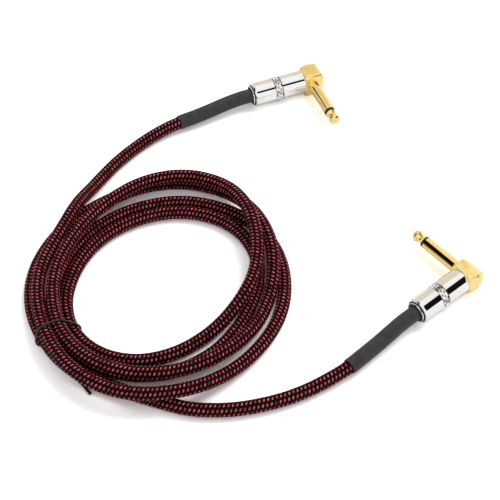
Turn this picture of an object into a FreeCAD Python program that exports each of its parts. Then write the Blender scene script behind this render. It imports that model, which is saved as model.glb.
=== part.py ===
import FreeCAD, Part
import math
import os

os.makedirs("parts", exist_ok=True)

Vector = FreeCAD.Vector

# Instrument cable with two right-angle 6.35 mm mono plugs, lying coiled on a table.
# Millimetres, +Z up, the table at z = 0. The origin is on the table, midway between the plugs.
# Each plug has its own frame: x along the shaft towards its tip, y along the barrel away
# from the cable, and zero where the two axes cross.

# Cord
cord_diameter = 7.0
core_diameter = 3.0
conductor_diameter = 1.2
pigtail_diameter = 1.2

# Plug shaft, the size that a 6.35 mm socket takes
shaft_diameter = 6.35
sleeve_length = 21.9
sleeve_bore = 3.8
sleeve_root_diameter = 6.0
sleeve_root_length = 2.8
rod_diameter = 2.4
ring_width = 1.2
ring_diameter = 6.0
ring_spigot_length = 1.5
tip_length = 7.4
tip_ball_diameter = 6.2
tip_collar_diameter = 5.6
tip_collar_length = 0.5
tip_collar_flare = 0.2
tip_neck_diameter = 4.0
tip_neck_distance = 2.3
tip_ball_distance = 4.2
tip_ball_width = 0.9
tip_ball_crown = 0.05
tip_nose_diameter = 2.2
tip_nose_crown = 0.39
bush_flange_thickness = 1.0
bush_length = 1.6
bush_diameter = 4.6

# Elbow
elbow_height = 13.5
elbow_front = 5.8
elbow_back = 8.0
elbow_joint = 4.7
elbow_end = 6.5
elbow_corner_cut = 4.0
elbow_end_chamfer = 2.5
elbow_back_chamfer = 1.3
elbow_front_chamfer = 1.0
spigot_length = 5.5
chamber_diameter = 6.8
chamber_depth = 3.2

# Barrel and its liner
barrel_diameter = 13.1
barrel_length = 30.7
barrel_wall = 1.25
thread_wall = 1.5
thread_length = 5.7
rear_wall = 2.25
rear_neck_length = 0.5
rear_neck_diameter = 9.5
rear_lip_length = 0.6
rear_lip_diameter = 10.3
rear_chamfer = 0.8
front_chamfer = 0.3
band_centre = 15.6
band_width = 4.0
band_groove_width = 0.3
band_groove_depth = 0.2
liner_wall = 0.45

# Terminals inside the barrel
strip_thickness = 0.5
tip_lug_width = 2.4
tip_lug_reach = 14.0
tip_lug_step = 5.6
tip_lug_behind_rod = 0.4
rivet_diameter = 1.4
rivet_head_diameter = 2.2
rivet_head_height = 0.4
clamp_thickness = 0.5
clamp_seat_length = 2.5
clamp_tongue_width = 3.2
clamp_tongue_length = 11.2
clamp_crimp_length = 4.0
clamp_crimp_slit = 2.4
jacket_inside_crimp = 1.0
core_bare_length = 4.0
conductor_past_lug = 2.05
pigtail_length = 6.0
solder_tip_diameter = 2.6
solder_tip_setback = 0.9
solder_tip_overlap = 0.3
solder_ground_diameter = 2.2
solder_ground_setback = 0.6
solder_ground_overlap = 0.2
solder_gap = 0.1

# Heat-shrink boot
boot_wall = 0.35
boot_straight = 9.65
boot_behind_crimp = 0.5

# Clearances
running_clearance = 0.05
loose_clearance = 0.3
liner_clearance = 0.08
layer_clearance = 0.5

# Places of the two plugs: crossing of the axes, the barrel's heading, and whether it lies face down
plug_a_place = (-3.2, 94.2, 21.6, False)
plug_b_place = (69.8, -46.8, 40.4, True)

# Coil: its centre and, for each eighth of a turn, the radius and layer. A strand in layer 0 lies on
# the table, one in layer 1 lies on another strand, and the numbers between are strands on their way.
coil_centre = (-81.3, -45.5)
coil_first_angle = 160.0
coil_station_step = 45.0
coil_entry_slope = -4.0
lower_layer = cord_diameter / 2
layer_rise = cord_diameter + layer_clearance
coil_stations = [
    (55.8, 1), (61.8, 1), (72.6, 1.1), (69.4, 0.9), (63.8, 0), (59.2, 0), (52.8, 0), (48.0, 0),
    (47.6, 0), (55.6, 0), (59.8, 0), (54.2, 0), (47.6, 0), (49.6, 0), (44.8, 0), (40.2, 0),
    (40.0, 0), (47.8, 0), (51.8, 0), (44.0, 0.1), (44.6, 1), (51.6, 1.6), (63.4, 1.2), (55.4, 1),
    (47.6, 1), (53.4, 1), (62.4, 1), (59.4, 0.85), (54.6, 0.5), (59.8, 1.05), (65.6, 0.2), (59.6, 0),
    (60.2, 0), (65.0, 0), (68.0, 0)]

# Free stretches of the cord, from each boot's mouth to the coil
lead_a_route = [
    (-75.5, 61.8, 5.3), (-83.5, 57.65, 4.92), (-93.65, 49.55, 4.2), (-104.5, 37.0, 3.5),
    (-113.6, 23.5, 3.5), (-119.8, 12.0, 6.0), (-124.8, -1.0, 11.0)]
lead_b_route = [
    (9.8, -99.7, 5.3), (2.8, -106.15, 4.9), (-7.5, -112.3, 4.2), (-24.1, -119.3, 3.5),
    (-42.6, -123.6, 3.5), (-58.0, -124.0, 3.5)]
lead_last_run = 9.0

# Twist tie round the bundle: angle about the coil's centre, then radius and height round the bundle
tie_diameter = 1.2
tie_angle = 215.0
tie_loop = [(44.4, 0.6), (69.8, 0.6), (69.8, 9.5), (65.2, 15.9), (53.0, 15.9), (44.4, 6.6)]
tie_corner_radius = 3.0
tie_tail_end = (-110.2, -115.3)

# Values that follow
cord_radius = cord_diameter / 2
axis_height = elbow_height / 2
ring_x = elbow_front + sleeve_length
tip_x = ring_x + ring_width
root_x = elbow_front - sleeve_root_length
lug_x = -rod_diameter / 2 - tip_lug_behind_rod
barrel_bore = barrel_diameter - 2 * barrel_wall
thread_bore = barrel_diameter - 2 * thread_wall
spigot_diameter = thread_bore - 2 * running_clearance
spigot_end = -elbow_joint - spigot_length
barrel_rear = -elbow_joint - barrel_length
crimp_front = spigot_end - clamp_thickness - clamp_tongue_length
crimp_rear = crimp_front - clamp_crimp_length
jacket_end = crimp_front + jacket_inside_crimp
conductor_end = conductor_past_lug - tip_lug_reach
boot_start = crimp_rear - boot_behind_crimp
boot_bend = barrel_rear - boot_straight
boot_radius = cord_radius + boot_wall


def cylinder_x(diameter, start, end, y=0.0, z=0.0):
    return Part.makeCylinder(diameter / 2, end - start, Vector(start, y, z), Vector(1, 0, 0))


def cylinder_y(diameter, start, end, x=0.0, z=0.0):
    return Part.makeCylinder(diameter / 2, end - start, Vector(x, start, z), Vector(0, 1, 0))


def block(low, high):
    size = Vector(*high).sub(Vector(*low))
    return Part.makeBox(size.x, size.y, size.z, Vector(*low))


def prism(points, direction):
    outline = Part.makePolygon([Vector(*p) for p in points + points[:1]])
    return Part.Face(outline).extrude(Vector(*direction))


# Shaft of the plug

def make_tip_contact():
    end_x = tip_x + tip_length
    rod_radius = rod_diameter / 2
    ball_start = Vector(tip_x + tip_ball_distance, tip_ball_diameter / 2 - tip_ball_crown, 0)
    ball_top = ball_start + Vector(tip_ball_width / 2, tip_ball_crown, 0)
    ball_end = ball_start + Vector(tip_ball_width, 0, 0)
    nose = Vector(end_x, tip_nose_diameter / 2, 0)
    run = nose.sub(ball_end).normalize()
    bulge = (ball_end + nose) * 0.5 + Vector(-run.y, run.x, 0) * tip_nose_crown
    before = [
        Vector(lug_x, 0, 0),
        Vector(lug_x, rod_radius, 0),
        Vector(tip_x, rod_radius, 0),
        Vector(tip_x, tip_collar_diameter / 2, 0),
        Vector(tip_x + tip_collar_length, tip_collar_diameter / 2 + tip_collar_flare, 0),
        Vector(tip_x + tip_neck_distance, tip_neck_diameter / 2, 0),
        ball_start]
    edges = [Part.LineSegment(a, b).toShape() for a, b in zip(before, before[1:])]
    edges.append(Part.Arc(ball_start, ball_top, ball_end).toShape())
    edges.append(Part.Arc(ball_end, bulge, nose).toShape())
    edges.append(Part.LineSegment(nose, Vector(end_x, 0, 0)).toShape())
    edges.append(Part.LineSegment(Vector(end_x, 0, 0), before[0]).toShape())
    body = Part.Face(Part.Wire(edges)).revolve(Vector(0, 0, 0), Vector(1, 0, 0), 360)
    rivet_end = lug_x - strip_thickness
    rivet = cylinder_x(rivet_diameter, rivet_end, lug_x)
    head = cylinder_x(rivet_head_diameter, rivet_end - rivet_head_height, rivet_end)
    return body.fuse([rivet, head]).removeSplitter()


def make_tip_insulator():
    ring = cylinder_x(ring_diameter, ring_x, tip_x)
    seat = cylinder_x(sleeve_bore, ring_x - ring_spigot_length, ring_x)
    bore = cylinder_x(rod_diameter, ring_x - ring_spigot_length, tip_x)
    return ring.fuse(seat).cut(bore).removeSplitter()


def make_shaft_liner():
    start = root_x + bush_length
    end = ring_x - ring_spigot_length
    return cylinder_x(sleeve_bore, start, end).cut(cylinder_x(rod_diameter, start, end))


def make_plug_sleeve():
    sleeve = cylinder_x(shaft_diameter, elbow_front, ring_x)
    root = cylinder_x(sleeve_root_diameter, root_x, elbow_front)
    bore = cylinder_x(sleeve_bore, root_x, ring_x)
    seat = cylinder_x(bush_diameter, root_x, root_x + bush_length)
    return sleeve.fuse(root).cut(bore).cut(seat).removeSplitter()


def make_rod_bush():
    flange_start = root_x - bush_flange_thickness
    body = cylinder_x(bush_diameter, root_x, root_x + bush_length)
    flange = cylinder_x(sleeve_root_diameter, flange_start, root_x)
    bore = cylinder_x(rod_diameter, flange_start, root_x + bush_length)
    return body.fuse(flange).cut(bore).removeSplitter()


# Elbow: a block whose outer corner and edges are cut, with a threaded spigot for the barrel

def make_elbow():
    half = elbow_height / 2
    plan = [
        (elbow_front, -elbow_joint, -half),
        (elbow_front, elbow_end, -half),
        (elbow_corner_cut - elbow_back, elbow_end, -half),
        (-elbow_back, elbow_end - elbow_corner_cut, -half),
        (-elbow_back, -elbow_joint, -half)]
    end_view = [
        (-elbow_back, -elbow_joint, -half),
        (-elbow_back, elbow_end - elbow_end_chamfer, -half),
        (-elbow_back, elbow_end, elbow_end_chamfer - half),
        (-elbow_back, elbow_end, half - elbow_end_chamfer),
        (-elbow_back, elbow_end - elbow_end_chamfer, half),
        (-elbow_back, -elbow_joint, half)]
    side_view = [
        (elbow_front - elbow_front_chamfer, -elbow_joint, -half),
        (elbow_front, -elbow_joint, elbow_front_chamfer - half),
        (elbow_front, -elbow_joint, half - elbow_front_chamfer),
        (elbow_front - elbow_front_chamfer, -elbow_joint, half),
        (elbow_back_chamfer - elbow_back, -elbow_joint, half),
        (-elbow_back, -elbow_joint, half - elbow_back_chamfer),
        (-elbow_back, -elbow_joint, elbow_back_chamfer - half),
        (elbow_back_chamfer - elbow_back, -elbow_joint, -half)]
    body = prism(plan, (0, 0, elbow_height))
    body = body.common(prism(end_view, (elbow_front + elbow_back, 0, 0)))
    body = body.common(prism(side_view, (0, elbow_joint + elbow_end, 0)))
    body = body.fuse(cylinder_y(spigot_diameter, spigot_end, -elbow_joint))
    chamber = cylinder_y(chamber_diameter, spigot_end, chamber_depth)
    root_bore = cylinder_x(sleeve_root_diameter, 0, elbow_front)
    return body.cut(chamber).cut(root_bore).removeSplitter()


# Barrel, screwed on the elbow's spigot, and the plastic liner inside it

def make_barrel():
    neck_start = barrel_rear + rear_lip_length
    shell_rear = neck_start + rear_neck_length
    radius = barrel_diameter / 2
    outline = [
        (0, -elbow_joint), (radius - front_chamfer, -elbow_joint),
        (radius, -elbow_joint - front_chamfer),
        (radius, shell_rear + rear_chamfer), (radius - rear_chamfer, shell_rear),
        (rear_neck_diameter / 2, shell_rear), (rear_neck_diameter / 2, neck_start),
        (rear_lip_diameter / 2, neck_start), (rear_lip_diameter / 2, barrel_rear), (0, barrel_rear)]
    wire = Part.makePolygon([Vector(x, y, 0) for x, y in outline + outline[:1]])
    body = Part.Face(wire).revolve(Vector(0, 0, 0), Vector(0, 1, 0), 360)
    thread_end = -elbow_joint - thread_length
    body = body.cut(cylinder_y(thread_bore, thread_end, -elbow_joint))
    body = body.cut(cylinder_y(barrel_bore, barrel_rear + rear_wall, thread_end))
    body = body.cut(cylinder_y(2 * (boot_radius + loose_clearance), barrel_rear, barrel_rear + rear_wall))
    band_middle = -elbow_joint - band_centre
    for side in (-1, 1):
        groove_middle = band_middle + side * band_width / 2
        start = groove_middle - band_groove_width / 2
        end = groove_middle + band_groove_width / 2
        groove = cylinder_y(2 * barrel_diameter, start, end)
        groove = groove.cut(cylinder_y(barrel_diameter - 2 * band_groove_depth, start, end))
        body = body.cut(groove)
    return body


def make_barrel_liner():
    outer = barrel_bore - 2 * liner_clearance
    start = barrel_rear + rear_wall + loose_clearance
    end = -elbow_joint - thread_length - loose_clearance
    return cylinder_y(outer, start, end).cut(cylinder_y(outer - 2 * liner_wall, start, end))


# Terminals, wires and solder

def make_tip_lug():
    back = lug_x - strip_thickness
    inner = -conductor_diameter / 2 - solder_gap
    step = inner - strip_thickness - back
    outline = [
        (lug_x, rivet_head_diameter), (back, rivet_head_diameter),
        (back, -tip_lug_step + strip_thickness / 2),
        (inner - strip_thickness, -tip_lug_step - step + strip_thickness / 2),
        (inner - strip_thickness, -tip_lug_reach), (inner, -tip_lug_reach),
        (inner, -tip_lug_step - step + strip_thickness), (lug_x, -tip_lug_step + strip_thickness)]
    strip = prism([(x, y, -tip_lug_width / 2) for x, y in outline], (0, 0, tip_lug_width))
    return strip.cut(cylinder_x(rivet_diameter, back, lug_x))


def make_ground_clamp():
    seat = cylinder_y(chamber_diameter, spigot_end, spigot_end + clamp_seat_length)
    flange_start = spigot_end - clamp_thickness
    outer = cord_diameter + 2 * clamp_thickness
    flange = cylinder_y(outer, flange_start, spigot_end)
    hole = cylinder_y(chamber_diameter - 2 * clamp_thickness, flange_start, spigot_end + clamp_seat_length)
    half_width = clamp_tongue_width / 2
    tongue = cylinder_y(outer, crimp_front, flange_start)
    tongue = tongue.cut(cylinder_y(cord_diameter, crimp_front, flange_start))
    tongue = tongue.common(block((-half_width, crimp_front, -outer), (half_width, flange_start, 0)))
    crimp = cylinder_y(outer, crimp_rear, crimp_front)
    crimp = crimp.cut(cylinder_y(cord_diameter, crimp_rear, crimp_front))
    half_slit = clamp_crimp_slit / 2
    crimp = crimp.cut(block((-half_slit, crimp_rear, 0), (half_slit, crimp_front, outer)))
    return seat.fuse(flange).cut(hole).fuse([tongue, crimp]).removeSplitter()


def make_core_insulation():
    end = jacket_end + core_bare_length
    return cylinder_y(core_diameter, jacket_end, end).cut(cylinder_y(conductor_diameter, jacket_end, end))


def make_centre_conductor():
    return cylinder_y(conductor_diameter, jacket_end, conductor_end)


def make_shield_pigtail():
    height = (pigtail_diameter - cord_diameter) / 2 + solder_gap
    return cylinder_y(pigtail_diameter, jacket_end, jacket_end + pigtail_length, z=height)


def make_solder_joints():
    conductor = make_centre_conductor()
    pigtail = make_shield_pigtail()
    lug = make_tip_lug()
    clamp = make_ground_clamp()
    tip_offset = (solder_tip_diameter - conductor_diameter) / 2 - solder_tip_overlap
    tip_centre = Vector(tip_offset, solder_tip_setback - tip_lug_reach, 0)
    tip_joint = Part.makeSphere(solder_tip_diameter / 2, tip_centre).cut(conductor).cut(lug)
    height = (solder_ground_diameter - cord_diameter) / 2 - solder_ground_overlap
    ground_centre = Vector(0, jacket_end + pigtail_length - solder_ground_setback, height)
    ground_joint = Part.makeSphere(solder_ground_diameter / 2, ground_centre).cut(pigtail).cut(clamp)
    return Part.makeCompound(tip_joint.Solids + ground_joint.Solids)


# Routes: straight runs joined by arcs, each arc as large as its two runs allow

def route_wire(points, radii=None):
    points = [Vector(*p) for p in points]
    edges = []
    start = points[0]
    for before, corner, after in zip(points, points[1:], points[2:]):
        back = before.sub(corner)
        ahead = after.sub(corner)
        reach = 0.45 * min(back.Length, ahead.Length)
        half_turn = (math.pi - back.getAngle(ahead)) / 2
        back.normalize()
        ahead.normalize()
        entry = corner + back * reach
        leave = corner + ahead * reach
        radius = reach / math.tan(half_turn)
        middle = corner + (back + ahead).normalize() * (radius / math.cos(half_turn) - radius)
        edges.append(Part.LineSegment(start, entry).toShape())
        edges.append(Part.Arc(entry, middle, leave).toShape())
        start = leave
        if radii is not None:
            radii.append(radius)
    edges.append(Part.LineSegment(start, points[-1]).toShape())
    return Part.Wire(edges)


def tube(path, diameter):
    first = path.Edges[0]
    start = first.valueAt(first.FirstParameter)
    heading = first.tangentAt(first.FirstParameter)
    section = Part.Wire(Part.makeCircle(diameter / 2, start, heading))
    return path.makePipeShell([section], True)


def report_tube(name, solid, path, diameter, radii):
    expected = math.pi * diameter ** 2 / 4 * path.Length
    print("%s: length %.1f, volume against section times length %.4f, least radius %.1f"
          % (name, path.Length, solid.Volume / expected, min(radii)))


# Coil: one unbroken tube that winds round its centre on biarcs from station to station

def coil_station(index):
    angle = math.radians(coil_first_angle + coil_station_step * index)
    radius, layer = coil_stations[index]
    height = lower_layer + layer * layer_rise
    last = len(coil_stations) - 1
    if index == 0:
        slope = coil_entry_slope
    elif index == last:
        slope = (radius - coil_stations[index - 1][0]) / 2
    else:
        slope = (coil_stations[index + 1][0] - coil_stations[index - 1][0]) / 2
    slope = slope / math.radians(coil_station_step)
    cosine = math.cos(angle)
    sine = math.sin(angle)
    point = Vector(coil_centre[0] + radius * cosine, coil_centre[1] + radius * sine, height)
    heading = Vector(slope * cosine - radius * sine, slope * sine + radius * cosine, 0)
    return point, heading.normalize()


def arc_edge(start, heading, end):
    chord = end.sub(start)
    middle_heading = Vector(chord).normalize()
    half_turn = heading.getAngle(chord)
    side = heading.cross(chord).cross(middle_heading).normalize()
    sagitta = chord.Length / 2 * math.tan(half_turn / 2)
    return Part.Arc(start, start + chord * 0.5 - side * sagitta, end).toShape()


def biarc(start, start_heading, end, end_heading):
    chord = end.sub(start)
    headings = start_heading + end_heading
    a = 2 * (1 - start_heading.dot(end_heading))
    b = 2 * chord.dot(headings)
    reach = (math.sqrt(b * b + 4 * a * chord.dot(chord)) - b) / (2 * a)
    joint = (start + end + (start_heading - end_heading) * reach) * 0.5
    return [arc_edge(start, start_heading, joint), arc_edge(end, end_heading * -1, joint)]


def coil_path():
    stations = [coil_station(index) for index in range(len(coil_stations))]
    first, first_heading = stations[0]
    last, last_heading = stations[-1]
    entry = first - first_heading * cord_diameter
    leave = last + last_heading * cord_diameter
    edges = [Part.LineSegment(entry, first).toShape()]
    for before, after in zip(stations, stations[1:]):
        edges += biarc(*before, *after)
    edges.append(Part.LineSegment(last, leave).toShape())
    return Part.Wire(Part.__sortEdges__(edges)), entry, first_heading, leave, last_heading


def least_gap(path):
    spacing = 1.0
    points = [tuple(p) for p in path.discretize(Distance=spacing)]
    half_turn_count = int(math.pi * min(radius for radius, layer in coil_stations) / spacing)
    best = None
    for index, point in enumerate(points):
        for other in points[index + half_turn_count:]:
            distance = math.dist(point, other)
            if best is None or distance < best:
                best = distance
    return best - cord_diameter


# Twist tie: a loop in the upright plane through the coil's centre, and a tail along the table

def make_twist_tie():
    angle = math.radians(tie_angle)
    outward = Vector(math.cos(angle), math.sin(angle), 0)
    centre = Vector(coil_centre[0], coil_centre[1], 0)
    corners = [centre + outward * radius + Vector(0, 0, height) for radius, height in tie_loop]
    edges = []
    leaves = []
    for index, corner in enumerate(corners):
        back = corners[index - 1].sub(corner).normalize()
        ahead = corners[(index + 1) % len(corners)].sub(corner).normalize()
        half_turn = (math.pi - back.getAngle(ahead)) / 2
        reach = tie_corner_radius * math.tan(half_turn)
        rise = tie_corner_radius / math.cos(half_turn) - tie_corner_radius
        middle = corner + (back + ahead).normalize() * rise
        entry = corner + back * reach
        leave = corner + ahead * reach
        edges.append(Part.Arc(entry, middle, leave).toShape())
        leaves.append((entry, leave))
    for index, (entry, leave) in enumerate(leaves):
        edges.append(Part.LineSegment(leave, leaves[(index + 1) % len(leaves)][0]).toShape())
    loop = Part.Wire(Part.__sortEdges__(edges))
    ring = tube(loop, tie_diameter)
    tail_start = corners[1] - outward * tie_corner_radius
    tail_end = Vector(tie_tail_end[0], tie_tail_end[1], tie_diameter / 2)
    run = tail_end.sub(tail_start)
    tail = Part.makeCylinder(tie_diameter / 2, run.Length, tail_start, run)
    return ring.fuse(tail).removeSplitter()


# Placing a plug: its barrel's heading in the plan, face down by half a turn about the barrel

def plug_placement(place):
    x, y, heading, face_down = place
    turn = FreeCAD.Rotation(Vector(0, 0, 1), heading - 90)
    flip = FreeCAD.Rotation(Vector(0, 1, 0), 180 if face_down else 0)
    return FreeCAD.Placement(Vector(x, y, axis_height), turn.multiply(flip))


def on_barrel_axis(place, distance):
    return plug_placement(place).multVec(Vector(0, distance, 0))


def save(name, shape):
    shape.exportStep("parts/%s.step" % name)


# Build both plugs with their boots and the ends of the cord that they hold

plug_pieces = {
    "tip_contact": make_tip_contact,
    "tip_insulator": make_tip_insulator,
    "shaft_liner": make_shaft_liner,
    "plug_sleeve": make_plug_sleeve,
    "rod_bush": make_rod_bush,
    "elbow": make_elbow,
    "barrel": make_barrel,
    "barrel_liner": make_barrel_liner,
    "tip_lug": make_tip_lug,
    "ground_clamp": make_ground_clamp,
    "core_insulation": make_core_insulation,
    "centre_conductor": make_centre_conductor,
    "shield_pigtail": make_shield_pigtail,
    "solder_joints": make_solder_joints}

coil_wire, coil_entry, entry_heading, coil_leave, leave_heading = coil_path()
lead_a_points = lead_a_route + [tuple(coil_entry - entry_heading * lead_last_run), tuple(coil_entry)]
lead_b_points = lead_b_route + [tuple(coil_leave + leave_heading * lead_last_run), tuple(coil_leave)]

for side, place, lead in (("a", plug_a_place, lead_a_points), ("b", plug_b_place, lead_b_points)):
    placement = plug_placement(place)
    for name, make in plug_pieces.items():
        piece = make()
        piece.Placement = placement.multiply(piece.Placement)
        save("%s_%s" % (name, side), piece)
    mouth = Vector(*lead[0])
    bend = on_barrel_axis(place, boot_bend)
    boot_path = route_wire([on_barrel_axis(place, boot_start), bend, mouth])
    end_path = route_wire([on_barrel_axis(place, jacket_end), bend, mouth])
    cord_end = tube(end_path, cord_diameter)
    save("cord_end_%s" % side, cord_end)
    save("strain_boot_%s" % side, tube(boot_path, 2 * boot_radius).cut(cord_end))
    radii = []
    path = route_wire(lead, radii)
    solid = tube(path, cord_diameter)
    report_tube("lead_%s" % side, solid, path, cord_diameter, radii)
    print("  radii: " + ", ".join("%.0f" % radius for radius in radii))
    save("cord_lead_%s" % side, solid)

coil = tube(coil_wire, cord_diameter)
coil_radii = [edge.Curve.Radius for edge in coil_wire.Edges if edge.Curve.TypeId == "Part::GeomCircle"]
report_tube("coil", coil, coil_wire, cord_diameter, coil_radii)
print("coil: least gap to itself %.2f" % least_gap(coil_wire))
save("cord_coil", coil)
save("twist_tie", make_twist_tie())
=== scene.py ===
import math

import bpy
import numpy as np
from mathutils import Matrix, Vector


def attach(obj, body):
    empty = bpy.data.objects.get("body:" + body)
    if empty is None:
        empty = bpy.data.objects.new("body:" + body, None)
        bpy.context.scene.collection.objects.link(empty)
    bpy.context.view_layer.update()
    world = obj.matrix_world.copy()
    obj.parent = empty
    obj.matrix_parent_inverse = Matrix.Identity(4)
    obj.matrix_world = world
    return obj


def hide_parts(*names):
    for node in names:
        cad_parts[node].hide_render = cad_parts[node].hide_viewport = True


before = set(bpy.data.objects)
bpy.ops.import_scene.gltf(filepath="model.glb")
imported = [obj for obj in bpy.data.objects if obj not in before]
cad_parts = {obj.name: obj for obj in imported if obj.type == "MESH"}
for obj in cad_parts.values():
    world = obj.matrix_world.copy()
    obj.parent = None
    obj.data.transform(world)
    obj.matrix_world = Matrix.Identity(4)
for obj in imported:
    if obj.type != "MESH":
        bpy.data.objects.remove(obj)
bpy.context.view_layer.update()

# Camera
# It stands in front of the cable and looks 50 degrees down on the table, level and square to it,
# with a long lens, so that the coil keeps its round shape.
camera_stand = (-0.0366, -0.4611, 0.5201)
camera_tilt = math.radians(50)
lens_length = 96.65
bpy.ops.object.camera_add(location=camera_stand, rotation=(math.radians(90) - camera_tilt, 0, 0))
camera = bpy.context.object
camera.data.sensor_width = 36
camera.data.lens = lens_length
bpy.context.scene.camera = camera

# Cord
# About 1.8 m of 7 mm instrument cable in a black textile braid with red tweed flecks. It leaves the
# upper plug, lies along the table, winds round four times and a third, and runs on to the second plug.
# Each turn is loose: it fans out and crosses its neighbours where the photograph shows it.
mm = 0.001
coil_middle = (-81.3, -45.5)
turn_step = 20
turn_start = 160
# The curve cuts the corners between its points, so those of the turns stand a little further out.
corner_allowance = 1.015
way_from_upper_plug = [
    (-22.21, 86.67, 6.75), (-33.93, 82.03, 6.75), (-45.09, 77.62, 6.75), (-64.0, 66.75, 5.6),
    (-74.9, 62.0, 4.9), (-84.8, 56.0, 4.2), (-94.0, 48.3, 3.6), (-102.5, 39.05, 3.5),
    (-108.2, 31.8, 3.5), (-113.6, 23.5, 3.5), (-119.0, 13.4, 4.6), (-123.4, 2.2, 8.6),
    (-126.7, -7.6, 10.8), (-130.1, -17.3, 10.7)]
# Each point of the turns is a reach from the coil's middle and a height, one every 20 degrees.
turns = [
    (54.9, 10.4), (57.5, 10.3), (60.6, 10.4), (65.2, 10.6), (71.3, 10.6), (74.0, 10.6), (72.5, 10.3),
    (67.8, 5.2), (64.7, 3.5), (63.4, 3.5), (61.6, 3.5), (60.3, 3.5), (57.8, 3.5), (54.0, 3.5),
    (51.1, 3.5), (48.0, 3.5), (46.6, 3.5), (46.4, 3.5), (47.4, 3.5), (49.9, 3.5), (54.8, 3.5),
    (58.6, 3.5), (60.1, 3.5), (59.0, 3.5), (57.0, 3.5), (53.3, 3.5), (49.6, 3.5), (47.8, 3.5),
    (48.6, 3.5), (49.9, 3.5), (49.4, 3.5), (46.9, 3.5), (43.9, 3.5), (41.0, 3.5), (39.4, 3.5),
    (39.4, 3.5), (40.4, 3.5), (42.9, 3.5), (47.7, 3.5), (51.8, 3.5), (53.0, 3.5), (51.2, 3.5),
    (46.9, 3.5), (43.1, 3.5), (42.2, 5.3), (44.6, 10.7), (47.4, 11.5), (51.2, 13.5), (56.6, 16.4),
    (63.2, 11.9), (63.4, 10.9), (59.0, 10.4), (52.9, 9.9), (49.0, 10.3), (47.7, 10.6), (50.0, 10.6),
    (53.3, 10.5), (58.2, 10.6), (61.6, 10.5), (62.6, 10.5), (61.3, 10.2), (58.8, 8.8), (56.9, 6.5),
    (55.3, 4.0), (56.2, 8.0), (58.0, 10.4), (60.3, 10.3), (64.6, 4.5), (65.0, 3.5), (62.0, 3.5),
    (58.3, 3.5), (58.6, 3.5), (60.2, 3.5), (62.5, 3.5), (64.2, 3.5), (65.5, 3.5), (66.6, 3.5),
    (67.9, 3.5)]
way_to_second_plug = [
    (-75.9, -119.2, 3.5), (-66.0, -122.2, 3.5), (-55.5, -123.3, 3.5), (-41.0, -122.6, 3.5),
    (-23.0, -118.2, 3.5), (-9.0, -112.0, 3.6), (2.3, -105.2, 4.2), (8.4, -101.0, 4.6),
    (14.2, -96.0, 4.9), (26.0, -85.3, 5.8), (35.49, -76.0, 6.75), (44.63, -68.22, 6.75),
    (54.23, -60.05, 6.75)]
route = list(way_from_upper_plug)
for number, (reach, height) in enumerate(turns):
    angle = math.radians(turn_start + turn_step * number)
    route.append((coil_middle[0] + reach * corner_allowance * math.cos(angle),
                  coil_middle[1] + reach * corner_allowance * math.sin(angle), height))
route += way_to_second_plug

cord_line = bpy.data.curves.new("cord_line", "CURVE")
cord_line.dimensions = "3D"
spline = cord_line.splines.new("NURBS")
spline.points.add(len(route) - 1)
for point, (x, y, z) in zip(spline.points, route):
    point.co = (x * mm, y * mm, z * mm, 1)
spline.order_u = 3
spline.use_endpoint_u = True
spline.resolution_u = 16
line_holder = bpy.data.objects.new("cord_line", cord_line)
bpy.context.scene.collection.objects.link(line_holder)
bpy.context.view_layer.update()
traced = bpy.data.meshes.new_from_object(line_holder)
line = np.array([v.co[:] for v in traced.vertices])
bpy.data.objects.remove(line_holder)
bpy.data.meshes.remove(traced)
shortest_step = 1e-7
line = line[np.concatenate([[True], np.linalg.norm(np.diff(line, axis=0), axis=1) > shortest_step])]
line_reach = np.concatenate([[0], np.cumsum(np.linalg.norm(np.diff(line, axis=0), axis=1))])
cord_length = line_reach[-1]


def on_cord(distances):
    """The points on the cord's line at these distances from its start."""
    return np.stack([np.interp(distances, line_reach, line[:, axis]) for axis in range(3)], axis=1)


def along_cord(distances):
    """The same points, and the directions to the cord's side and to its top at each of them."""
    either_way = 0.3 * mm
    heading = on_cord(distances + either_way) - on_cord(distances - either_way)
    heading /= np.linalg.norm(heading, axis=1)[:, None]
    side = np.cross(heading, (0, 0, 1))
    side /= np.linalg.norm(side, axis=1)[:, None]
    top = np.cross(side, heading)
    return on_cord(distances), side, top


def distance_of(x, y, z):
    """How far along the cord the point lies that is nearest to this one, which is in millimetres."""
    return line_reach[np.argmin(np.linalg.norm(line - np.array((x, y, z)) * mm, axis=1))]


def round_tube(name, distances, radii, sides, closed=True):
    """A tube along the cord's line, with a UV map that counts turns round it and metres along it."""
    places, side, top = along_cord(distances)
    corner = 2 * math.pi * np.arange(sides) / sides
    ring = (np.cos(corner)[None, :, None] * side[:, None, :]
            + np.sin(corner)[None, :, None] * top[:, None, :])
    wall = places[:, None, :] + ring * np.asarray(radii)[:, None, None]
    faces = []
    uv_values = []
    for row in range(len(distances) - 1):
        for k in range(sides):
            a = row * sides + k
            b = row * sides + (k + 1) % sides
            faces.append((a, a + sides, b + sides, b))
            for step, r in ((0, row), (0, row + 1), (1, row + 1), (1, row)):
                uv_values += [(k + step) / sides, distances[r]]
    if closed:
        faces.append(tuple(range(sides)))
        faces.append(tuple(reversed(range((len(distances) - 1) * sides, len(distances) * sides))))
        corners_of_both_ends = 2 * sides
        uv_values += [0.0, 0.0] * corners_of_both_ends
    mesh = bpy.data.meshes.new(name)
    mesh.from_pydata(wall.reshape(-1, 3).tolist(), [], faces)
    mesh.uv_layers.new(name="round_and_along").data.foreach_set("uv", uv_values)
    mesh.shade_smooth()
    piece = bpy.data.objects.new(name, mesh)
    bpy.context.scene.collection.objects.link(piece)
    return piece


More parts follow.
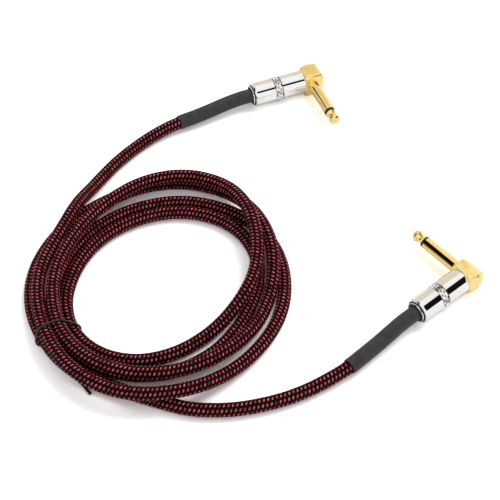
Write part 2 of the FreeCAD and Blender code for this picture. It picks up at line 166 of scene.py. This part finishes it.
# The braid itself is a smooth black sleeve on which the flecks stand. A boot covers each end of it.
boot_mouth_a = distance_of(-75.5, 61.8, 5.3)
boot_mouth_b = distance_of(9.8, -99.7, 5.3)
sleeve_radius = 3.32 * mm
sleeve_step = 1.0 * mm
sleeve_sides = 32
sleeve_marks = np.linspace(0, cord_length, int(cord_length / sleeve_step))
sleeve_radii = np.full(len(sleeve_marks), sleeve_radius)
cord_sleeve = round_tube("cord_sleeve", sleeve_marks, sleeve_radii, sleeve_sides)

# One fleck is a red yarn that comes up through the braid, passes over a black one and dives again. The
# flecks stand in rows along the cord, and every second row is half a pitch further on.
fleck_rows = 8
fleck_pitch = 2.05 * mm
fleck_lean = 0.5
fleck_length = 2.1 * mm
fleck_width = 1.15 * mm
fleck_rise = 0.14 * mm
fleck_under_boot = 2 * mm
# Along a fleck: shares of its length, width and rise. Across it: shares of its width and rise.
fleck_stations = [(-0.5, 0.3, -0.8), (-0.3, 0.85, 0.6), (0.0, 1.0, 1.0), (0.3, 0.85, 0.6),
                  (0.5, 0.3, -0.8)]
fleck_sides = [(-0.5, -0.5), (0.0, 1.0), (0.5, -0.5)]
first_fleck = boot_mouth_a - fleck_under_boot
flecks_in_row = int((boot_mouth_b + fleck_under_boot - first_fleck) / fleck_pitch)
row_index, fleck_index = np.meshgrid(np.arange(fleck_rows), np.arange(flecks_in_row), indexing="ij")
row_index = row_index.ravel()
fleck_index = fleck_index.ravel()
middle = first_fleck + (fleck_index + 0.5 * (row_index % 2)) * fleck_pitch
turn_of_row = 2 * math.pi * row_index / fleck_rows
row_arc = 2 * math.pi * sleeve_radius / fleck_rows
yarn_slant = math.atan2(fleck_lean * fleck_pitch, row_arc)
points = []
for across_share, width_share, lift in fleck_stations:
    for side_share, side_lift in fleck_sides:
        over = across_share * fleck_length
        beside = side_share * fleck_width * width_share
        arc = over * math.cos(yarn_slant) - beside * math.sin(yarn_slant)
        run = over * math.sin(yarn_slant) + beside * math.cos(yarn_slant)
        radius = sleeve_radius + fleck_rise * min(lift, side_lift)
        angle = turn_of_row + arc / sleeve_radius
        places, side, top = along_cord(middle + run)
        outward = np.cos(angle)[:, None] * side + np.sin(angle)[:, None] * top
        points.append(places + radius * outward)
points = np.stack(points, axis=1)
# A fleck's faces are small ones on top and one underneath that closes its rim.
width = len(fleck_sides)
last = len(fleck_stations) - 1
patch = [(a * width + b, a * width + b + 1, (a + 1) * width + b + 1, (a + 1) * width + b)
         for a in range(last) for b in range(width - 1)]
rim = (list(range(0, last * width, width)) + list(range(last * width, last * width + width))
       + list(range(last * width - 1, width - 1, -width)) + list(range(width - 1, 0, -1)))
faces = []
for n in range(points.shape[0]):
    base = n * points.shape[1]
    faces += [tuple(base + k for k in face) for face in patch]
    faces.append(tuple(base + k for k in rim))
mesh = bpy.data.meshes.new("cord_flecks")
mesh.from_pydata(points.reshape(-1, 3).tolist(), [], faces)
mesh.shade_smooth()
cord_flecks = bpy.data.objects.new("cord_flecks", mesh)
bpy.context.scene.collection.objects.link(cord_flecks)


def new_material(name):
    """An empty material, its nodes, their links and its surface shader."""
    material = bpy.data.materials.new(name)
    material.use_nodes = True
    tree = material.node_tree
    return material, tree.nodes, tree.links, tree.nodes["Principled BSDF"]


def calculate(nodes, links, operation, first, second=None):
    """One Math node. Each input is a number or another node's output."""
    node = nodes.new("ShaderNodeMath")
    node.operation = operation
    for socket, value in zip(node.inputs, (first, second)):
        if isinstance(value, (int, float)):
            socket.default_value = value
        elif value is not None:
            links.new(value, socket)
    return node.outputs[0]


def cloudy(nodes, links, scale, detail=3.0):
    """Soft random light and dark through the piece, with this many patches to the metre."""
    place = nodes.new("ShaderNodeTexCoord")
    noise = nodes.new("ShaderNodeTexNoise")
    noise.inputs["Scale"].default_value = scale
    noise.inputs["Detail"].default_value = detail
    links.new(place.outputs["Object"], noise.inputs["Vector"])
    return noise.outputs["Fac"]


def colour_between(nodes, links, shader, height, colours):
    """The base colour from a value: each colour is (value, red, green, blue)."""
    ramp = nodes.new("ShaderNodeValToRGB")
    elements = ramp.color_ramp.elements
    while len(elements) < len(colours):
        elements.new(0.5)
    for element, (position, red, green, blue) in zip(elements, colours):
        element.position = position
        element.color = (red, green, blue, 1)
    links.new(height, ramp.inputs[0])
    links.new(ramp.outputs[0], shader.inputs["Base Color"])


def roughness_between(nodes, links, shader, height, low, high):
    """The roughness from a cloudy value, which lies mostly between 0.3 and 0.7."""
    spread = nodes.new("ShaderNodeMapRange")
    spread.inputs["From Min"].default_value = 0.3
    spread.inputs["From Max"].default_value = 0.7
    spread.inputs["To Min"].default_value = low
    spread.inputs["To Max"].default_value = high
    links.new(height, spread.inputs[0])
    links.new(spread.outputs[0], shader.inputs["Roughness"])


def raised(nodes, links, shader, height, strength, depth):
    """Fine relief on the surface from a value, this deep in metres."""
    bump = nodes.new("ShaderNodeBump")
    bump.inputs["Strength"].default_value = strength
    bump.inputs["Distance"].default_value = depth
    links.new(height, bump.inputs["Height"])
    links.new(bump.outputs[0], shader.inputs["Normal"])


black_braid, nodes, links, shader = new_material("black_textile_braid")
uv = nodes.new("ShaderNodeUVMap")
uv.uv_map = "round_and_along"
split = nodes.new("ShaderNodeSeparateXYZ")
links.new(uv.outputs[0], split.inputs[0])
rows = calculate(nodes, links, "MULTIPLY", split.outputs[0], fleck_rows / 2)
picks = calculate(nodes, links, "DIVIDE", split.outputs[1], fleck_pitch)
ridges = None
for operation in ("ADD", "SUBTRACT"):
    yarn = calculate(nodes, links, operation, picks, rows)
    ridge = calculate(nodes, links, "ABSOLUTE", calculate(
        nodes, links, "SINE", calculate(nodes, links, "MULTIPLY", yarn, 2 * math.pi)))
    ridges = ridge if ridges is None else calculate(nodes, links, "MULTIPLY", ridges, ridge)
fibre_share = 0.4
fibre = calculate(nodes, links, "MULTIPLY", cloudy(nodes, links, 2600), fibre_share)
weave_relief_and_sheen = calculate(nodes, links, "ADD", ridges, fibre)
# Painted sheen: the crests of the weave are coloured lighter than its hollows, on top of the fibre's
# random tone. The same values give the relief.
colour_between(nodes, links, shader, weave_relief_and_sheen,
               [(0.15, 0.0006, 0.0005, 0.0006), (0.6, 0.0022, 0.002, 0.0022),
                (1.0, 0.008, 0.0076, 0.0085)])
shader.inputs["Roughness"].default_value = 0.6
shader.inputs["Specular IOR Level"].default_value = 0.07
raised(nodes, links, shader, weave_relief_and_sheen, 0.9, 0.0002)
cord_sleeve.data.materials.append(black_braid)

red_yarn, nodes, links, shader = new_material("red_fleck_yarn")
patch_share = 0.75
fibre_share = 0.35
patches = cloudy(nodes, links, 420, 1.0)
fibre = cloudy(nodes, links, 3200)
blend = calculate(nodes, links, "ADD", calculate(nodes, links, "MULTIPLY", patches, patch_share),
                  calculate(nodes, links, "MULTIPLY", fibre, fibre_share))
colour_between(nodes, links, shader, blend,
               [(0.35, 0.16, 0.006, 0.011), (0.5, 0.64, 0.043, 0.062), (0.63, 0.92, 0.155, 0.185)])
shader.inputs["Roughness"].default_value = 0.5
shader.inputs["Specular IOR Level"].default_value = 0.2
raised(nodes, links, shader, fibre, 0.5, 0.0001)
cord_flecks.data.materials.append(red_yarn)

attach(cord_sleeve, "cable")
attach(cord_flecks, "cable")
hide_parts("cord_end_a", "cord_lead_a", "cord_coil", "cord_lead_b", "cord_end_b")

# Boots
# A dull black heat-shrink tube over each end of the cord. It starts inside the barrel, comes out
# through the barrel's rear hole, and is shrunk tight on the braid.
boot_radius = 3.85 * mm
boot_wall = 0.32 * mm
boot_start = 5.5 * mm
boot_mouth_taper = 0.12 * mm
boot_rings = 64
boot_sides = 48


def only(piece):
    """Select this piece and nothing else."""
    bpy.ops.object.select_all(action="DESELECT")
    piece.select_set(True)
    bpy.context.view_layer.objects.active = piece


heat_shrink, nodes, links, shader = new_material("black_heat_shrink")
smears = cloudy(nodes, links, 260)
fine = cloudy(nodes, links, 3000)
colour_between(nodes, links, shader, smears,
               [(0.3, 0.028, 0.027, 0.028), (0.7, 0.050, 0.048, 0.050)])
roughness_between(nodes, links, shader, fine, 0.42, 0.6)
shader.inputs["Specular IOR Level"].default_value = 0.35
raised(nodes, links, shader, calculate(nodes, links, "ADD", fine, smears), 0.35, 0.0001)
for name, start, end, mouth in (("a", boot_start, boot_mouth_a, -1),
                                ("b", boot_mouth_b, cord_length - boot_start, 0)):
    marks = np.linspace(start, end, boot_rings)
    radii = np.full(boot_rings, boot_radius)
    radii[mouth] -= boot_mouth_taper
    boot = round_tube("boot_" + name, marks, radii, boot_sides, closed=False)
    only(boot)
    wall = boot.modifiers.new("wall", "SOLIDIFY")
    wall.thickness = boot_wall
    wall.offset = -1
    bpy.ops.object.modifier_apply(modifier=wall.name)
    bpy.ops.object.shade_smooth_by_angle(angle=math.radians(40))
    boot.data.materials.append(heat_shrink)
    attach(boot, "cable")
    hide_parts("strain_boot_" + name)

# Elbows
# The plug's body: a small block, die-cast and gold-plated, with cut corners. The shaft is pressed into
# one face, and the barrel screws on a threaded spigot on the next one.
axis_height = 6.75
# Where the axes of a plug's shaft and barrel cross, the direction from its barrel to its elbow, and
# whether the plug is turned over.
plug_places = {"a": (-3.2, 94.2, 21.6, False), "b": (69.8, -46.8, 40.4, True)}
elbow_low = (-8.5, -4.7, -6.75)
elbow_high = (5.8, 5.75, 6.75)
elbow_ridge = (-8.2, -0.4)
# Each cut goes through a point and takes away what lies on the side that its direction points to.
elbow_cuts = [
    ((*elbow_ridge, 0), (-1, -0.3, 0)), ((*elbow_ridge, 0), (-1, 0.36, 0)),
    ((0, 5.75, 5.15), (0, 1, 1)), ((0, 5.75, -2.9), (0, 1, -1)),
    ((5.8, 0, 5.75), (1, 0, 1)), ((5.8, 0, -6.25), (1, 0, -1)),
    ((*elbow_ridge, 2.45), (-1, -0.315, 0.636)), ((*elbow_ridge, 2.45), (-1, 0.296, 0.6)),
    ((*elbow_ridge, -5.45), (-0.957, -0.291, -1)), ((*elbow_ridge, -5.45), (-0.928, 0.373, -1))]
elbow_edge = 0.35
# The spigot runs back along the barrel's axis, and the thread's ridges stand on it from its end inwards.
spigot_start = -4.65
spigot_end = -10.2
spigot_bore = 3.4
spigot_sides = 48
drill_middle = -1
drill_depth = 8
thread_crest = 5.0
thread_root = 4.62
thread_pitch = 1.0
thread_turns = 5
first_crest = 0.4
crest_width = 0.15
crest_to_root = 0.6


def turned(name, outline, sides):
    """A ring round the y axis: a circle, extruded and scaled from point to point of a closed outline."""
    bpy.ops.object.select_all(action="DESELECT")
    y, radius = outline[0]
    bpy.ops.mesh.primitive_circle_add(vertices=sides, radius=radius * mm, location=(0, y * mm, 0),
                                      rotation=(math.radians(90), 0, 0))
    piece = bpy.context.object
    piece.name = name
    bpy.ops.object.transform_apply(location=True, rotation=True, scale=True)
    bpy.ops.object.mode_set(mode="EDIT")
    bpy.ops.mesh.select_all(action="SELECT")
    for next_y, next_radius in outline[1:] + outline[:1]:
        bpy.ops.mesh.extrude_region_move(TRANSFORM_OT_translate={"value": (0, (next_y - y) * mm, 0)})
        scale = next_radius / radius
        bpy.ops.transform.resize(value=(scale, 1, scale), center_override=(0, next_y * mm, 0))
        y, radius = next_y, next_radius
    bpy.ops.mesh.select_all(action="SELECT")
    bpy.ops.mesh.remove_doubles(threshold=1e-6)
    bpy.ops.mesh.normals_make_consistent(inside=False)
    bpy.ops.object.mode_set(mode="OBJECT")
    return piece


def copy_on_plug(piece, name, place):
    """A copy of a piece, brought from its own frame, shaft along x and barrel along y, to the table."""
    placed = piece.copy()
    placed.data = piece.data.copy()
    placed.name = name
    bpy.context.scene.collection.objects.link(placed)
    x, y, heading, face_down = place
    turn = Matrix.Rotation(math.radians(heading - 90), 4, "Z")
    flip = Matrix.Rotation(math.radians(180 if face_down else 0), 4, "Y")
    placed.matrix_world = Matrix.Translation((x * mm, y * mm, axis_height * mm)) @ turn @ flip
    only(placed)
    bpy.ops.object.transform_apply(location=True, rotation=True, scale=True)
    return placed


def plated(name, smear_scale, colours, roughness, fine_scale, relief):
    """Plated metal: its colour and roughness follow soft smears, and its relief is much finer."""
    fine_detail = 4.0
    material, nodes, links, shader = new_material(name)
    smears = cloudy(nodes, links, smear_scale)
    fine = cloudy(nodes, links, fine_scale, fine_detail)
    colour_between(nodes, links, shader, smears, colours)
    roughness_between(nodes, links, shader, smears, *roughness)
    raised(nodes, links, shader, fine, *relief)
    shader.inputs["Metallic"].default_value = 1.0
    return material


bpy.ops.object.select_all(action="DESELECT")
bpy.ops.mesh.primitive_cube_add(size=1)
elbow = bpy.context.object
bpy.ops.object.mode_set(mode="EDIT")
bpy.ops.mesh.select_all(action="SELECT")
bpy.ops.transform.resize(value=[(high - low) * mm for low, high in zip(elbow_low, elbow_high)])
bpy.ops.transform.translate(value=[(high + low) / 2 * mm for low, high in zip(elbow_low, elbow_high)])
for place, direction in elbow_cuts:
    bpy.ops.mesh.select_all(action="SELECT")
    bpy.ops.mesh.bisect(plane_co=[value * mm for value in place], plane_no=direction,
                        use_fill=True, clear_outer=True)
bpy.ops.object.mode_set(mode="OBJECT")
bpy.ops.object.select_all(action="DESELECT")
bpy.ops.mesh.primitive_cylinder_add(vertices=spigot_sides, radius=spigot_bore * mm,
                                    depth=drill_depth * mm, location=(0, drill_middle * mm, 0),
                                    rotation=(math.radians(90), 0, 0))
drill = bpy.context.object
only(elbow)
bore = elbow.modifiers.new("bore", "BOOLEAN")
bore.object = drill
bore.operation = "DIFFERENCE"
bpy.ops.object.modifier_apply(modifier=bore.name)
bpy.data.objects.remove(drill)
edges = elbow.modifiers.new("edges", "BEVEL")
edges.width = elbow_edge * mm
edges.segments = 2
edges.limit_method = "ANGLE"
edges.angle_limit = math.radians(20)
bpy.ops.object.modifier_apply(modifier=edges.name)
spigot_outline = [(spigot_end, spigot_bore), (spigot_end, thread_root)]
for ridge in range(thread_turns):
    crest = spigot_end + first_crest + ridge * thread_pitch
    spigot_outline += [(crest, thread_crest), (crest + crest_width, thread_crest),
                       (crest + crest_to_root, thread_root)]
spigot_outline += [(spigot_start, thread_root), (spigot_start, spigot_bore)]
spigot = turned("spigot", spigot_outline, spigot_sides)
bpy.ops.object.select_all(action="DESELECT")
spigot.select_set(True)
elbow.select_set(True)
bpy.context.view_layer.objects.active = elbow
bpy.ops.object.join()
bpy.ops.object.shade_smooth_by_angle(angle=math.radians(25))

satin_gold = plated("satin_gold_plate", 180, [(0.35, 0.97, 0.73, 0.26), (0.65, 1.0, 0.85, 0.42)],
                    (0.2, 0.3), 5000, (0.12, 0.00003))
for name, place in plug_places.items():
    body = copy_on_plug(elbow, "elbow_casting_" + name, place)
    body.data.materials.append(satin_gold)
    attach(body, "cable")
    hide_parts("elbow_" + name)
bpy.data.objects.remove(elbow)

# Plug shafts
# A gold-plated tube, the ball tip on its rod, and a black ring that keeps the two apart. All are turned
# parts, polished before plating, and the tube's root is pressed into the elbow.
bright_gold = plated("bright_gold_plate", 150, [(0.35, 0.95, 0.68, 0.24), (0.65, 1.0, 0.78, 0.34)],
                     (0.04, 0.07), 4000, (0.05, 0.00002))

black_plastic, nodes, links, shader = new_material("black_moulded_plastic")
smears = cloudy(nodes, links, 400)
fine = cloudy(nodes, links, 5000)
colour_between(nodes, links, shader, smears,
               [(0.3, 0.005, 0.005, 0.005), (0.7, 0.010, 0.0095, 0.0095)])
roughness_between(nodes, links, shader, fine, 0.3, 0.45)
shader.inputs["Specular IOR Level"].default_value = 0.3
raised(nodes, links, shader, fine, 0.1, 0.00003)


def finish_node(name, material):
    """Give a piece that keeps its CAD shape its finish."""
    for material_slot in bpy.data.objects[name].material_slots:
        material_slot.material = material


for name in plug_places:
    finish_node("plug_sleeve_" + name, bright_gold)
    finish_node("tip_contact_" + name, bright_gold)
    finish_node("tip_insulator_" + name, black_plastic)

# Barrels
# A chrome-plated brass sleeve that screws on the elbow's spigot and covers the solder joints. A band of
# fine knurling between two grooves gives grip, and a turned lip closes the rear round the boot. The
# grooves, the rear mouth and the knurl's low fields are painted dark, as painted shade.
barrel_outline = [
    (-4.7, 5.05), (-4.7, 6.25), (-4.8, 6.46), (-5.0, 6.55), (-5.15, 6.55), (-18.1, 6.55),
    (-18.15, 6.3), (-18.45, 6.3), (-18.5, 6.42), (-19.1, 6.42), (-19.7, 6.42), (-20.3, 6.42),
    (-20.9, 6.42), (-21.5, 6.42), (-22.1, 6.42), (-22.15, 6.3), (-22.45, 6.3), (-22.5, 6.55),
    (-33.3, 6.55), (-33.45, 6.55), (-33.9, 6.35), (-34.2, 6.05), (-34.3, 5.75), (-34.3, 4.75),
    (-34.8, 4.75), (-34.85, 5.0), (-34.95, 5.15), (-35.25, 5.15), (-35.4, 5.0), (-35.4, 4.15),
    (-33.15, 4.15), (-33.15, 5.3), (-10.4, 5.3), (-10.4, 5.05)]
barrel_sides = 72
# The knurl's fields stand in rows along the barrel and in columns of ten degrees round it. One in five
# stays low, two columns further on in each row, and the others are raised to points.
knurl_from = -22.1
knurl_to = -18.5
knurl_inside = 6
knurl_row = 0.6
knurl_column = 10
knurl_height = 0.2
low_field_every = 5
low_field_shift = 2
# Bands that get painted shade: the grooves beside the knurl, the groove in the rear lip and the inside
# of the rear mouth.
grooves = [(-18.45, -18.15), (-22.45, -22.15), (-34.82, -34.28), (-35.45, -35.38)]
groove_inside = 4.5
barrel = turned("barrel_shell", barrel_outline, barrel_sides)
bpy.ops.object.mode_set(mode="EDIT")
bpy.ops.mesh.select_mode(type="FACE")
bpy.ops.mesh.select_all(action="DESELECT")
bpy.ops.object.mode_set(mode="OBJECT")
for face in barrel.data.polygons:
    middle = face.center / mm
    reach = math.hypot(middle.x, middle.z)
    in_band = knurl_from < middle.y < knurl_to and reach > knurl_inside
    column = int(math.degrees(math.atan2(middle.z, middle.x)) // knurl_column)
    row = int((middle.y - knurl_from) / knurl_row)
    left_low = in_band and (low_field_shift * column + row) % low_field_every == 0
    in_groove = reach > groove_inside and any(low < middle.y < high for low, high in grooves)
    face.select = in_band and not left_low
    # Faces in these bands and the knurl's low fields take the second material, which is painted shade.
    face.material_index = int(in_groove or left_low)
bpy.ops.object.mode_set(mode="EDIT")
bpy.ops.mesh.poke(offset=knurl_height * mm)
bpy.ops.object.mode_set(mode="OBJECT")
bpy.ops.object.shade_smooth_by_angle(angle=math.radians(25))


def smeared(name, scale, colours, roughness, relief, metallic=0.0):
    """A material whose colour, roughness and relief all follow the same soft smears."""
    material, nodes, links, shader = new_material(name)
    smears = cloudy(nodes, links, scale)
    colour_between(nodes, links, shader, smears, colours)
    roughness_between(nodes, links, shader, smears, *roughness)
    raised(nodes, links, shader, smears, *relief)
    shader.inputs["Metallic"].default_value = metallic
    return material


chrome = plated("chrome_plate", 90, [(0.3, 0.86, 0.85, 0.83), (0.7, 0.93, 0.93, 0.92)],
                (0.04, 0.08), 2500, (0.03, 0.00002))
# Painted shade: a dark, dull finish for the grooves, the rear mouth and the knurl's low fields, where
# shade falls on the chrome.
groove_painted_shade = smeared("groove_painted_shade", 600, [(0.3, 0.03, 0.029, 0.028), (0.7, 0.07, 0.067, 0.064)],
                      (0.5, 0.65), (0.2, 0.00003))
for name, place in plug_places.items():
    shell = copy_on_plug(barrel, "barrel_shell_" + name, place)
    shell.data.materials.append(chrome)
    shell.data.materials.append(groove_painted_shade)
    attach(shell, "barrel_" + name)
    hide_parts("barrel_" + name)
bpy.data.objects.remove(barrel)

# Inside the plugs
# A black plastic liner in the barrel, the insulation of the rod and of the cable's core, the tinned tip
# lug and ground clamp, the copper core and screen, and two solder joints.
natural_plastic = smeared("natural_plastic", 500, [(0.3, 0.66, 0.62, 0.52), (0.7, 0.76, 0.73, 0.64)],
                          (0.35, 0.5), (0.1, 0.00005))
tinned = smeared("tinned_strip", 600, [(0.3, 0.58, 0.58, 0.57), (0.7, 0.74, 0.74, 0.73)],
                 (0.28, 0.45), (0.1, 0.00004), metallic=1.0)
copper = smeared("bare_copper", 2500, [(0.3, 0.60, 0.24, 0.12), (0.7, 0.86, 0.44, 0.26)],
                 (0.25, 0.4), (0.3, 0.00008), metallic=1.0)
solder = smeared("soft_solder", 900, [(0.3, 0.50, 0.50, 0.50), (0.7, 0.72, 0.72, 0.71)],
                 (0.2, 0.4), (0.2, 0.0001), metallic=1.0)
for name in plug_places:
    finish_node("barrel_liner_" + name, black_plastic)
    for part in ("shaft_liner_", "rod_bush_", "core_insulation_"):
        finish_node(part + name, natural_plastic)
    for part in ("tip_lug_", "ground_clamp_"):
        finish_node(part + name, tinned)
    for part in ("centre_conductor_", "shield_pigtail_"):
        finish_node(part + name, copper)
    finish_node("solder_joints_" + name, solder)

# Twist tie
# A thin black plastic tie with a wire core, wound once round the bundle and twisted shut underneath.
# Its end follows the outer turn along the table and sticks out from under it.
tie_radius = 0.58 * mm
tail_thickness = 1.3
# Each point is an angle round the coil's middle, a reach from it and a height.
tie_round = [
    (215.5, 69.6, 3.5), (215.5, 69.3, 7.2), (215.5, 68.5, 10.8), (215.6, 67.2, 13.4),
    (215.8, 64.5, 14.7), (216.3, 60.8, 14.75), (217.0, 57.5, 14.7), (217.7, 55.0, 13.4),
    (218.8, 51.9, 10.0), (219.6, 48.6, 6.4), (220.2, 47.5, 3.5), (220.0, 48.4, 0.9),
    (218.0, 58.0, 0.65), (216.2, 67.4, 0.7)]
tie_tail = [
    (215.8, 66.9, 0.8), (220.0, 67.8, 0.75), (225.0, 68.1, 0.75), (230.0, 68.4, 0.75),
    (235.0, 68.7, 0.75), (240.3, 69.3, 0.75), (243.5, 71.1, 0.75), (246.4, 73.0, 0.75)]
tie_line = bpy.data.curves.new("twist_tie_strip", "CURVE")
tie_line.dimensions = "3D"
for way, closed in ((tie_round, True), (tie_tail, False)):
    strip = tie_line.splines.new("NURBS")
    strip.points.add(len(way) - 1)
    for point, (angle, reach, height) in zip(strip.points, way):
        angle = math.radians(angle)
        point.co = ((coil_middle[0] + reach * math.cos(angle)) * mm,
                    (coil_middle[1] + reach * math.sin(angle)) * mm, height * mm, 1)
        point.radius = 1.0 if closed else tail_thickness
    strip.order_u = 3
    strip.use_cyclic_u = closed
    strip.use_endpoint_u = not closed
    strip.resolution_u = 6
tie_line.bevel_depth = tie_radius
tie_line.bevel_resolution = 3
tie_line.use_fill_caps = True
tie = bpy.data.objects.new("twist_tie_strip", tie_line)
bpy.context.scene.collection.objects.link(tie)
only(tie)
bpy.ops.object.convert(target="MESH")
tie = bpy.context.object
bpy.ops.object.mode_set(mode="EDIT")
bpy.ops.mesh.select_all(action="SELECT")
bpy.ops.mesh.remove_doubles(threshold=1e-7)
bpy.ops.mesh.normals_make_consistent(inside=False)
bpy.ops.object.mode_set(mode="OBJECT")
bpy.ops.object.shade_smooth_by_angle(angle=math.radians(50))
tie_plastic = smeared("black_tie_plastic", 700,
                      [(0.3, 0.003, 0.003, 0.003), (0.7, 0.009, 0.009, 0.0095)],
                      (0.1, 0.2), (0.2, 0.0001))
tie.data.materials.append(tie_plastic)
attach(tie, "cable")
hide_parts("twist_tie")

# Table top
# A plain white sweep on which the cable rests. It looks pure white outside the cable's soft shadow,
# and the polished pieces mirror it a little darker.
floor_size = 6
extra_white = 1.05
mirrored_share = 0.18
bpy.ops.object.select_all(action="DESELECT")
bpy.ops.mesh.primitive_plane_add(size=floor_size, location=(0, 0, 0))
floor = bpy.context.object
floor.name = "floor"
white, nodes, links, shader = new_material("white_sweep")
shader.inputs["Base Color"].default_value = (0.8, 0.8, 0.8, 1)
shader.inputs["Roughness"].default_value = 0.9
shader.inputs["Specular IOR Level"].default_value = 0.0
rays = nodes.new("ShaderNodeLightPath")
bright_white = nodes.new("ShaderNodeBsdfDiffuse")
mirrored = calculate(nodes, links, "MULTIPLY", rays.outputs["Is Glossy Ray"], mirrored_share)
seen = calculate(nodes, links, "MAXIMUM", rays.outputs["Is Camera Ray"], mirrored)
seen = calculate(nodes, links, "MAXIMUM", seen, rays.outputs["Is Transmission Ray"])
links.new(calculate(nodes, links, "MULTIPLY", seen, extra_white), bright_white.inputs["Color"])
both = nodes.new("ShaderNodeAddShader")
links.new(shader.outputs[0], both.inputs[0])
links.new(bright_white.outputs[0], both.inputs[1])
links.new(both.outputs[0], nodes["Material Output"].inputs["Surface"])
floor.data.materials.append(white)

# Light
# One large soft lamp high at the back right, and a white studio room. Only what is polished mirrors the
# room's beige back wall and its dark openings, as pale and as dark stripes.
lamp_stand = (0.6, 0.52, 1.15)
lamp_aim = (-0.04, -0.02, 0)
lamp_size = 0.9
lamp_power = 9.0
room_light = 0.62
bpy.ops.object.light_add(type="AREA", location=lamp_stand)
lamp = bpy.context.object
lamp.data.shape = "DISK"
lamp.data.size = lamp_size
lamp.data.energy = lamp_power
lamp.visible_glossy = False
lamp.rotation_euler = (Vector(lamp_aim) - lamp.location).to_track_quat("-Z", "Y").to_euler()
world = bpy.data.worlds.new("studio")
world.use_nodes = True
bpy.context.scene.world = world
nodes = world.node_tree.nodes
links = world.node_tree.links
room = nodes["Background"]
direction = nodes.new("ShaderNodeTexCoord")
split = nodes.new("ShaderNodeSeparateXYZ")
links.new(direction.outputs["Generated"], split.inputs[0])

# The direction in which the room is seen, in degrees: its heading from -180 to 180 and again from 0 to
# 360, and its height above the horizon.
to_degrees = 180 / math.pi
heading = calculate(nodes, links, "ARCTAN2", split.outputs[1], split.outputs[0])
heading = calculate(nodes, links, "MULTIPLY", heading, to_degrees)
full_heading = calculate(nodes, links, "FLOORED_MODULO", heading, 360.0)
height = calculate(nodes, links, "ARCSINE", split.outputs[2])
height = calculate(nodes, links, "MULTIPLY", height, to_degrees)


def inside(value, middle, half, soft=3.0):
    """1 where a value lies within half of the middle, with a soft edge in degrees, and 0 elsewhere."""
    away = calculate(nodes, links, "ABSOLUTE", calculate(nodes, links, "SUBTRACT", value, middle))
    step = nodes.new("ShaderNodeMapRange")
    step.interpolation_type = "SMOOTHSTEP"
    step.inputs["From Min"].default_value = -soft / 2
    step.inputs["From Max"].default_value = soft / 2
    links.new(calculate(nodes, links, "SUBTRACT", half, away), step.inputs[0])
    return step.outputs[0]


def painted(wall, colour, share):
    """A wall's colour, or another node's output, with a second colour over it where the share is 1."""
    factor, under, over, result = 0, 6, 7, 2
    node = nodes.new("ShaderNodeMix")
    node.data_type = "RGBA"
    links.new(share, node.inputs[factor])
    if isinstance(wall, tuple):
        node.inputs[under].default_value = wall
    else:
        links.new(wall, node.inputs[under])
    node.inputs[over].default_value = colour
    return node.outputs[result]


white_wall = (1, 1, 1, 1)
beige_wall = (0.80, 0.72, 0.60, 1)
dark_opening = (0.006, 0.005, 0.005, 1)
back_wall_edge = 8
# Each opening: which heading, its middle and half its width, its middle height and half its height.
dark_openings = [(heading, -5, 20, 36, 19), (heading, -41, 13, 50, 8), (full_heading, 184, 19, 38, 26),
                 (full_heading, 146, 20, 60, 8), (full_heading, 150, 7, 29, 9)]
openings = None
for value, middle, half, height_middle, height_half in dark_openings:
    opening = calculate(nodes, links, "MULTIPLY", inside(value, middle, half),
                        inside(height, height_middle, height_half))
    openings = opening if openings is None else calculate(nodes, links, "MAXIMUM", openings, opening)
back_wall = calculate(nodes, links, "MULTIPLY", inside(heading, 102, 27, back_wall_edge),
                      inside(height, 15, 36, back_wall_edge))
walls = painted(white_wall, beige_wall, back_wall)
mirror_room = nodes.new("ShaderNodeBackground")
links.new(painted(walls, dark_opening, openings), mirror_room.inputs["Color"])
rays = nodes.new("ShaderNodeLightPath")
room.inputs["Color"].default_value = white_wall
seen = calculate(nodes, links, "MULTIPLY", rays.outputs["Is Camera Ray"], 1.0 - room_light)
links.new(calculate(nodes, links, "ADD", seen, room_light), room.inputs["Strength"])
choose = nodes.new("ShaderNodeMixShader")
links.new(rays.outputs["Is Glossy Ray"], choose.inputs[0])
links.new(room.outputs[0], choose.inputs[1])
links.new(mirror_room.outputs[0], choose.inputs[2])
links.new(choose.outputs[0], nodes["World Output"].inputs["Surface"])

bpy.context.scene.view_settings.view_transform = "Standard"
